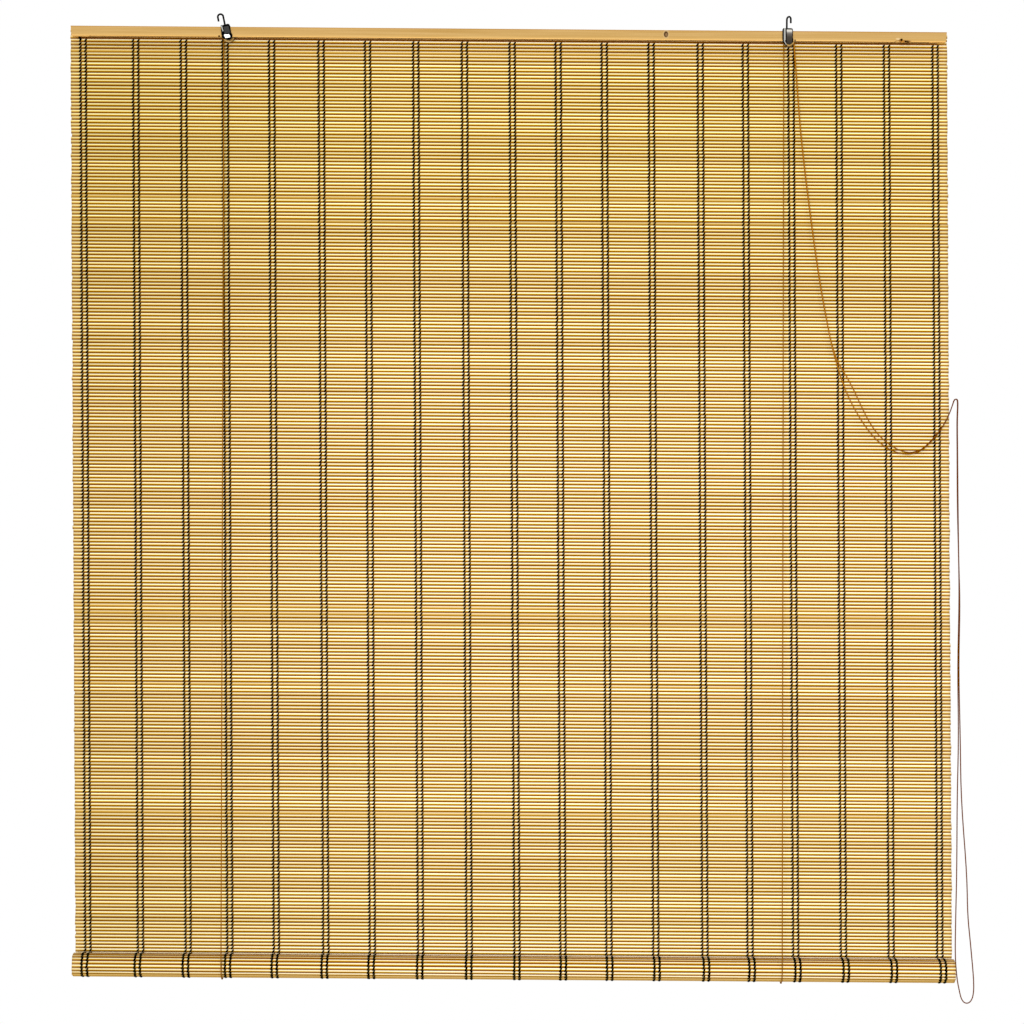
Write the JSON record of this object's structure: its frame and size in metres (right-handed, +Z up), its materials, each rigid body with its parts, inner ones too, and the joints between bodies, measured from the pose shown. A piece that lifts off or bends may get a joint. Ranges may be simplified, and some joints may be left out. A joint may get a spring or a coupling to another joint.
{
  "type": "roll-up blind",
  "caption": "Roll-up blind of thin bamboo sticks twined with dark thread, hung from a wooden head rail on pulley hooks, its foot rolled up in cord slings worked by a pull loop.",
  "frame": {"origin": "on the line between the seats of the two hooks, midway along the rail", "axes": "+X to the viewer's right along the rail, +Y away from the viewer towards the window, +Z up"},
  "size_m": [1.5881, 0.0581, 1.7178],
  "materials": {
    "pine": "bare planed softwood",
    "bamboo": "bare split bamboo, slightly glossy",
    "dowel_wood": "bare turned wood",
    "dark_thread": "twisted dark olive and black thread",
    "brown_cord": "twisted brown cord",
    "black_steel": "black enamel",
    "bright_steel": "bright steel",
    "pale_plastic": "moulded plastic"
  },
  "bodies": {
    "rail": {"head_rail": "pine", "back_slat": "pine", "slat_tacks": "bright_steel", "cord_staples": "bright_steel", "mat": "bamboo", "mat_threads": "dark_thread", "binding_thread": "dark_thread", "sheave_cords": "brown_cord", "pull_cord": "brown_cord", "left_lift_cord_front": "brown_cord", "left_lift_cord_back": "brown_cord", "right_lift_cord_front": "brown_cord", "right_lift_cord_back": "brown_cord"},
    "left_hanger": {"left_frame": "black_steel", "left_axle": "bright_steel", "left_spacer": "pale_plastic"},
    "right_hanger": {"right_frame": "black_steel", "right_axle": "bright_steel"},
    "left_hook": {"left_hook": "black_steel"},
    "right_hook": {"right_hook": "black_steel"},
    "left_sheave": {"left_sheave": "pale_plastic"},
    "right_back_sheave": {"right_back_sheave": "pale_plastic"},
    "right_front_sheave": {"right_front_sheave": "pale_plastic"},
    "slings": {"cord_slings": "brown_cord"},
    "roll": {"mat_roll": "bamboo", "roll_threads": "dark_thread", "foot_dowel": "dowel_wood"}
  },
  "joints": [
    {"name": "left_hanger_swing", "type": "hinge", "parent": "rail", "child": "left_hanger", "pos_m": [-0.48768, 0, -0.0398], "axis": [0, 1, 0], "range_deg": [-1, 24]},
    {"name": "right_hanger_swing", "type": "hinge", "parent": "rail", "child": "right_hanger", "pos_m": [0.48768, 0, -0.0398], "axis": [0, 1, 0], "range_deg": [-12, 12]},
    {"name": "left_hook_swivel", "type": "hinge", "parent": "left_hanger", "child": "left_hook", "pos_m": [-0.49003, 0, -0.0403], "axis": [-0.2079, 0, 0.9781], "continuous": true},
    {"name": "right_hook_swivel", "type": "hinge", "parent": "right_hanger", "child": "right_hook", "pos_m": [0.48428, 0, -0.0398], "axis": [0, 0, 1], "continuous": true},
    {"name": "left_sheave_turn", "type": "hinge", "parent": "left_hanger", "child": "left_sheave", "pos_m": [-0.48768, 0, -0.0398], "axis": [0, 1, 0], "continuous": true},
    {"name": "right_back_sheave_turn", "type": "hinge", "parent": "right_hanger", "child": "right_back_sheave", "pos_m": [0.48768, 0, -0.0398], "axis": [0, 1, 0], "continuous": true},
    {"name": "right_front_sheave_turn", "type": "hinge", "parent": "right_hanger", "child": "right_front_sheave", "pos_m": [0.48768, 0, -0.0398], "axis": [0, 1, 0], "continuous": true},
    {"name": "roll_lift", "type": "slide", "parent": "rail", "child": "slings", "axis": [0, 0, 1], "range_m": [0, 1.54], "deforming": ["mat", "mat_threads", "left_lift_cord_front", "right_lift_cord_front", "left_lift_cord_back", "right_lift_cord_back", "pull_cord"]},
    {"name": "roll_turn", "type": "hinge", "parent": "slings", "child": "roll", "pos_m": [0.021, -0.0113, -1.6548], "axis": [1, 0, 0], "continuous": true}
  ],
  "couplings": [
    {"joint": "roll_turn", "follows": "roll_lift", "rad_per_m": -47.619},
    {"joint": "left_sheave_turn", "follows": "roll_lift", "rad_per_m": 227.27},
    {"joint": "right_back_sheave_turn", "follows": "roll_lift", "rad_per_m": 227.27},
    {"joint": "right_front_sheave_turn", "follows": "roll_lift", "rad_per_m": 227.27}
  ]
}
